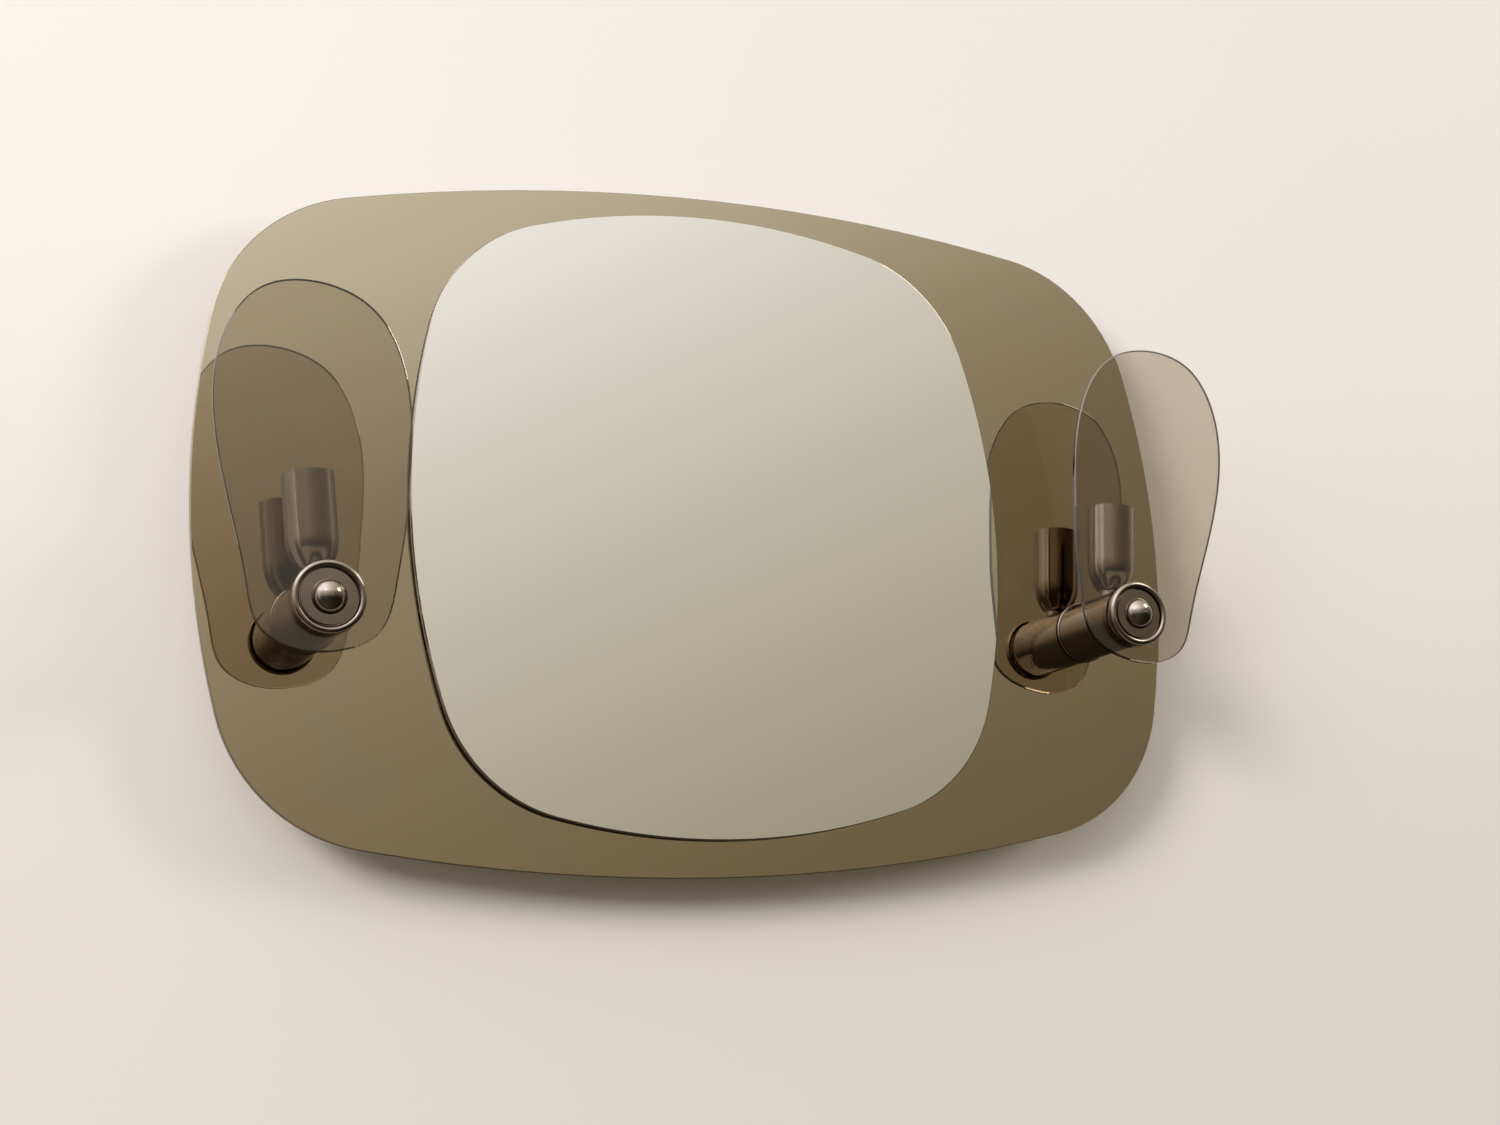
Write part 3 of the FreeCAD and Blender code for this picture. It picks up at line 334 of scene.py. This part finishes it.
def foam():
    made = Material("foam_tape", Roughness=0.85)
    pores = made.cells(made.place(), 1300)
    made.feed(made.colours(pores, (0.0, (0.40, 0.40, 0.39)), (0.35, (0.72, 0.715, 0.69))), "Base Color")
    made.feed(made.bump(pores, 0.6, 0.0004), "Normal")
    return made.mat


def pine(name, along_z):
    """Planed pine, with its grain along the batten."""
    made = Material(name, Roughness=0.6)
    made.set("Specular IOR Level", 0.35)
    stretch = (9, 9, 0.7) if along_z else (0.7, 9, 9)
    where = made.place(stretch)
    rings = made.node("TexWave", wave_type="BANDS", bands_direction="X" if along_z else "Z",
                      wave_profile="SAW")
    made.link(where, rings.inputs["Vector"])
    for socket, size in (("Scale", 3.2), ("Distortion", 5.5), ("Detail", 3), ("Detail Scale", 0.8)):
        rings.inputs[socket].default_value = size
    fibre = made.noise(made.place((70, 70, 3) if along_z else (3, 70, 70)), 12, 5, 0.6)
    tone = made.colours(rings.outputs["Fac"], (0.0, (0.66, 0.47, 0.27)), (0.7, (0.58, 0.385, 0.20)),
                        (0.95, (0.40, 0.235, 0.11)))
    worn = made.blend(made.span(fibre, 0.35, 0.7, 0, 0.45), tone, (0.45, 0.30, 0.165))
    knots = made.cells(made.place((1, 1, 0.35) if along_z else (0.35, 1, 1)), 16)
    made.feed(made.blend(made.span(knots, 0.05, 0.16, 0.8, 0), worn, (0.17, 0.085, 0.04)), "Base Color")
    made.feed(made.span(fibre, 0.3, 0.7, 0.48, 0.72), "Roughness")
    made.feed(made.bump(made.sum(fibre, rings.outputs["Fac"]), 0.35, 0.0005), "Normal")
    return made.mat


def fibreboard():
    """Brown hardboard: pressed fibres, with the press screen's fine mesh on the back."""
    made = Material("hardboard", Roughness=0.7)
    made.set("Specular IOR Level", 0.3)
    fibre = made.noise(made.place(), 420, 6, 0.7, 1.8)
    cloud = made.noise(made.place(), 14, 4)
    base = made.colours(fibre, (0.3, (0.33, 0.205, 0.115)), (0.68, (0.22, 0.13, 0.07)))
    made.feed(made.blend(made.span(cloud, 0.35, 0.7, 0, 0.5), base, (0.235, 0.15, 0.085)), "Base Color")
    made.feed(made.span(fibre, 0.3, 0.7, 0.55, 0.82), "Roughness")
    heights = []
    for direction in ("X", "Z"):
        wave = made.node("TexWave", wave_type="BANDS", bands_direction=direction, wave_profile="SIN")
        made.link(made.place(), wave.inputs["Vector"])
        wave.inputs["Scale"].default_value = 95
        wave.inputs["Distortion"].default_value = 0.6
        heights.append(wave.outputs["Fac"])
    at_back = made.span(made.facing(), 0.9, 0.97, 0, 1)
    mesh_mark = made.sum(made.sum(*heights, "MULTIPLY"), at_back, "MULTIPLY")
    made.feed(made.bump(made.sum(mesh_mark, fibre), 0.5, 0.0005), "Normal")
    return made.mat


def make_materials():
    """The look of each slot, and one more for the battens whose grain runs upright."""
    return {
        "dark_nickel": dark_nickel(),
        "bronze_mirror": mirror("bronze_mirror_glass", BRONZE, BRONZE_EDGE, BRONZE_BEVEL, BRONZE_PAINT,
                                BRONZE_PAINTED_LIGHT),
        "silver_mirror": mirror("silver_mirror_glass", SILVER, SILVER_EDGE, SILVER_BEVEL, SILVER_PAINT),
        "tinted_glass": tinted_glass(),
        "zinc_steel": zinc_steel(),
        "brass": brass(),
        "porcelain": porcelain(),
        "felt": felt(),
        "foam_tape": foam(),
        "pine": pine("pine_along_x", False),
        "pine_upright": pine("pine_along_z", True),
        "fibreboard": fibreboard(),
        "clear_nylon": plastic("natural_nylon", (0.74, 0.73, 0.68), (0.66, 0.645, 0.59), 0.34,
                               Subsurface_Weight=0.25, Subsurface_Scale=0.003),
        "black_rubber": plastic("black_rubber", (0.022, 0.021, 0.020), (0.04, 0.038, 0.036), 0.72, 900),
        "white_plastic": plastic("white_moulding", (0.76, 0.75, 0.71), (0.70, 0.685, 0.64), 0.42),
        "block_plastic": plastic("terminal_block_plastic", (0.68, 0.67, 0.61), (0.60, 0.59, 0.53), 0.38,
                                 Subsurface_Weight=0.2, Subsurface_Scale=0.003),
        "lead_sleeve": plastic("lead_sleeve", (0.70, 0.68, 0.62), (0.60, 0.575, 0.51), 0.45, 2200),
    }


def dress_nodes(materials):
    """Each CAD node arrives with a plain material that has its slot's name."""
    for name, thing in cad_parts.items():
        for place in thing.material_slots:
            upright = place.material.name == "pine" and name in ("left_batten", "right_batten")
            place.material = materials["pine_upright" if upright else place.material.name]


# Stage: pale wall and floor, sky, lights


def wall_paint(name, colour, see_through):
    """Rolled matt paint, with painted shade that makes it darker and warmer lower down. Seen from behind, or
    by a shadow ray, it may be clear.
    """
    made = Material(name, Roughness=0.9)
    made.set("Specular IOR Level", 0.2)
    roller = made.noise(made.place(), 320, 4, 0.55)
    cloud = made.noise(made.place(), 1.3, 2)
    tone = made.colours(cloud, (0.3, colour), (0.7, shaded(colour, 0.975)))
    # Painted shade: the colour turns darker and warmer from the upper height down to the lower one.
    low = made.span(made.axes(made.place())["Z"], PAINTED_SHADE_FROM_Z, PAINTED_SHADE_FULL_Z, 0, 1)
    made.feed(made.blend(low, tone, PAINTED_SHADE_LOW), "Base Color")
    made.feed(made.bump(roller, 0.06, 0.0006), "Normal")
    if see_through:
        path, side = made.node("LightPath"), made.node("NewGeometry")
        either = made.sum(path.outputs["Is Shadow Ray"], side.outputs["Backfacing"], "MAXIMUM")
        clear, mix = made.node("BsdfTransparent"), made.node("MixShader")
        made.link(either, mix.inputs[0])
        made.link(made.shader.outputs[0], mix.inputs[1])
        made.link(clear.outputs[0], mix.inputs[2])
        made.link(mix.outputs[0], made.output.inputs["Surface"])
    return made.mat


def flat_sheet(name, corners, material):
    mesh = bpy.data.meshes.new(name)
    mesh.from_pydata(corners, [], [(0, 1, 2, 3)])
    thing = bpy.data.objects.new(name, mesh)
    mesh.materials.append(material)
    bpy.context.scene.collection.objects.link(thing)
    return thing


def make_stage():
    left, right = -STAGE_REACH, STAGE_REACH
    ends = ((left, FLOOR_Z), (right, FLOOR_Z), (right, WALL_TOP), (left, WALL_TOP))
    wall = [(x, WALL_Y, z) for x, z in ends]
    flat_sheet("stage_wall", wall, wall_paint("wall_paint", WALL_COLOUR, True))
    corners = [(x, y, FLOOR_Z) for x, y in ((left, left), (right, left), (right, right), (left, right))]
    floor = flat_sheet("stage_floor", corners, wall_paint("floor_paint", FLOOR_COLOUR, False))
    floor.visible_glossy = False
    floor.visible_diffuse = False


def make_sky():
    """Light by direction: brighter upwards and to the left, dark below."""
    world = bpy.data.worlds.new("room_light")
    bpy.context.scene.world = world
    world.use_nodes = True
    tree = world.node_tree
    tree.nodes.clear()

    def node(kind, **settings):
        made = tree.nodes.new(f"ShaderNode{kind}")
        for name, size in settings.items():
            setattr(made, name, size)
        return made

    coords, split = node("TexCoord"), node("SeparateXYZ")
    tree.links.new(coords.outputs["Generated"], split.inputs[0])

    def limited(axis, low, high):
        made = node("Clamp")
        tree.links.new(split.outputs[axis], made.inputs[0])
        made.inputs[1].default_value, made.inputs[2].default_value = low, high
        return made.outputs[0]

    def scaled(value, by, plus):
        """The value times by, plus plus. Each is a number or another node's output."""
        made = node("Math", operation="MULTIPLY_ADD")
        for index, term in enumerate((value, by, plus)):
            if isinstance(term, float):
                made.inputs[index].default_value = term
            else:
                tree.links.new(term, made.inputs[index])
        return made.outputs[0]

    across, up = limited("X", *SKY_ACROSS), limited("Z", *SKY_UP)
    ceiling, floor = limited("Z", *CEILING), limited("Z", *FLOOR)
    path, join = node("LightPath"), node("CombineColor")
    start_at = -CEILING[0] * CEILING_SLOPE - FLOOR[1] * FLOOR_SLOPE
    extra = scaled(floor, FLOOR_SLOPE, scaled(ceiling, CEILING_SLOPE, start_at))
    extra = scaled(extra, path.outputs["Is Glossy Ray"], 0.0)
    extra = scaled(path.outputs["Is Diffuse Ray"], DIFFUSE_CHANGE, extra)
    for channel, (start, by_x, by_z) in enumerate(SKY_CHANNELS):
        total = scaled(extra, 1.0, scaled(up, by_z, scaled(across, by_x, start)))
        power = node("Math", operation="EXPONENT")
        tree.links.new(total, power.inputs[0])
        tree.links.new(power.outputs[0], join.inputs[channel])
    light, seen = node("Background"), node("Background")
    mix, output = node("MixShader"), node("OutputWorld")
    tree.links.new(join.outputs[0], light.inputs[0])
    seen.inputs[0].default_value = (*SKY_SEEN, 1)
    tree.links.new(path.outputs["Is Camera Ray"], mix.inputs[0])
    tree.links.new(light.outputs[0], mix.inputs[1])
    tree.links.new(seen.outputs[0], mix.inputs[2])
    tree.links.new(mix.outputs[0], output.inputs[0])


def area_light(name, place, wide, tall, power, glints):
    """A rectangular lamp aimed at the object. It lights the plain surfaces, or else only gives glints."""
    data = bpy.data.lights.new(name, "AREA")
    data.shape = "RECTANGLE"
    data.size, data.size_y = wide, tall
    data.energy = power
    data.color = LAMP_COLOUR
    lamp = bpy.data.objects.new(name, data)
    lamp.location = place
    lamp.rotation_euler = (LAMP_AIM - Vector(place)).to_track_quat("-Z", "Y").to_euler()
    lamp.visible_glossy = glints
    lamp.visible_transmission = glints
    lamp.visible_diffuse = not glints
    bpy.context.scene.collection.objects.link(lamp)


make_camera()
make_stage()
make_sky()
for lamp in LAMPS:
    area_light(*lamp)
dress_nodes(make_materials())

scene = bpy.context.scene
scene.view_settings.view_transform = "Standard"
scene.view_settings.look = "None"
